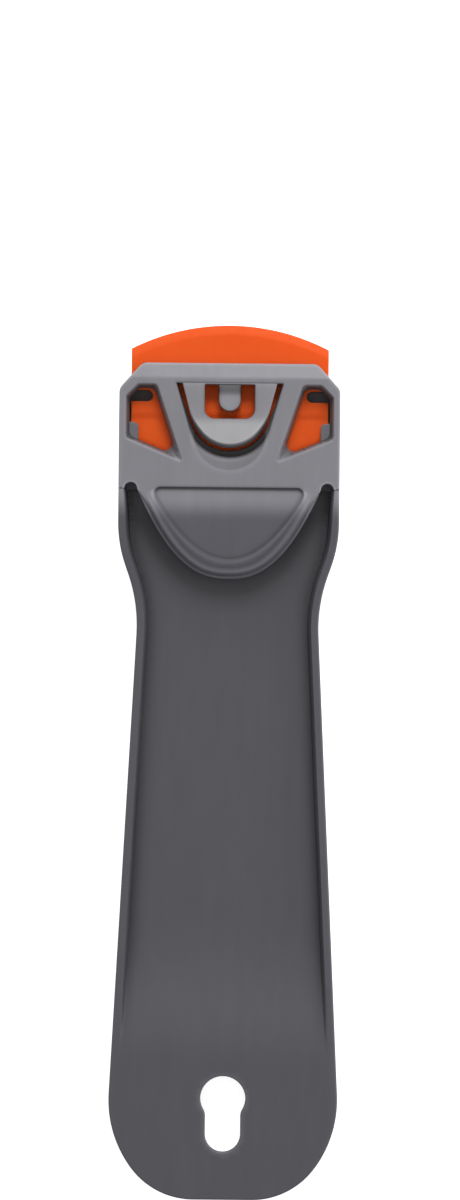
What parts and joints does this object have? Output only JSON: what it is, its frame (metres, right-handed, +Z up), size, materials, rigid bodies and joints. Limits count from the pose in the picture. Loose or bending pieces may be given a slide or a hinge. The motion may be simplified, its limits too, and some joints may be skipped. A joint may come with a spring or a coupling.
{
  "type": "hand scraper",
  "caption": "Flat moulded hand scraper: tray-shaped handle with a keyhole, and a windowed head with a lift-up release tongue that latches a bowed double-edged plastic blade.",
  "frame": {"origin": "on the surface that the tool lies on, under the middle of its whole length and width", "axes": "+Y along the tool from the handle's end towards the blade, +Z up out of the tray side, +X across the tool"},
  "size_m": [0.0442, 0.1688, 0.0074],
  "materials": {
    "handle_plastic": "moulded dark grey, fine satin grain",
    "cover_plastic": "moulded grey, satin",
    "blade_plastic": "moulded bright orange, semi-gloss"
  },
  "bodies": {
    "holder": {"handle": "handle_plastic", "head_cover": "cover_plastic"},
    "release_tongue": {"release_tongue": "cover_plastic", "latch_finger": "cover_plastic"},
    "blade": {"blade": "blade_plastic"}
  },
  "joints": [
    {"name": "tongue_lift", "type": "hinge", "parent": "holder", "child": "release_tongue", "pos_m": [0, 0.07285, 0.0069], "axis": [-1, 0, 0], "range_deg": [0, 15], "stiffness_Nm_per_rad": 0.15},
    {"name": "blade_slide", "type": "slide", "parent": "holder", "child": "blade", "axis": [0, 1, 0], "range_m": [0, 0.024], "deforming": ["latch_finger"]}
  ]
}
